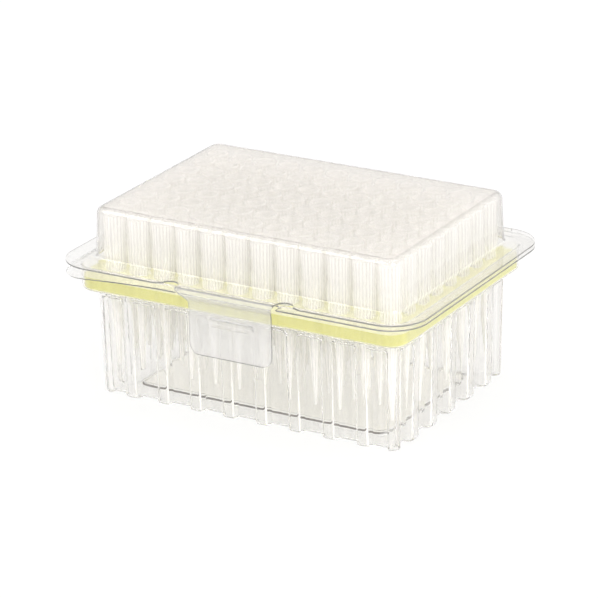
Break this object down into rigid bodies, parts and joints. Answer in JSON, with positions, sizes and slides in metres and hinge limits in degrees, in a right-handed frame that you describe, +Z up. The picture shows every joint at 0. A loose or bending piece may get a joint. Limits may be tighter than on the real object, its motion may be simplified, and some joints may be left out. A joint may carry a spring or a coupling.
{
  "type": "box of pipette tips",
  "caption": "Hinged clear box that holds a grid of pipette tips upright in a coloured deck, with a fold-down latch tab.",
  "frame": {"origin": "centre of the tip grid in plan, on the surface that the tray stands on", "axes": "+X along the long side, from the first column of tips to the last; -Y towards the latch; +Z up"},
  "size_m": [0.128, 0.096, 0.0627],
  "materials": {
    "clear_sheet": "clear thermoformed sheet, glossy",
    "deck_plastic": "moulded pale lime yellow, satin",
    "tip_plastic": "natural translucent moulding, satin"
  },
  "bodies": {
    "base": {"base_tray": "clear_sheet", "tip_deck": "deck_plastic", "tips_column_01": "tip_plastic", "tips_column_02": "tip_plastic", "tips_column_03": "tip_plastic", "tips_column_04": "tip_plastic", "tips_column_05": "tip_plastic", "tips_column_06": "tip_plastic", "tips_column_07": "tip_plastic", "tips_column_08": "tip_plastic", "tips_column_09": "tip_plastic", "tips_column_10": "tip_plastic", "tips_column_11": "tip_plastic", "tips_column_12": "tip_plastic"},
    "lid": {"lid": "clear_sheet"},
    "latch": {"latch_tab": "clear_sheet"}
  },
  "joints": [
    {"name": "lid_hinge", "type": "hinge", "parent": "base", "child": "lid", "pos_m": [0, 0.0476, 0.0449], "axis": [-1, 0, 0], "range_deg": [0, 180]},
    {"name": "latch_fold", "type": "hinge", "parent": "lid", "child": "latch", "pos_m": [0, -0.0476, 0.04565], "axis": [-1, 0, 0], "range_deg": [0, 120]}
  ]
}
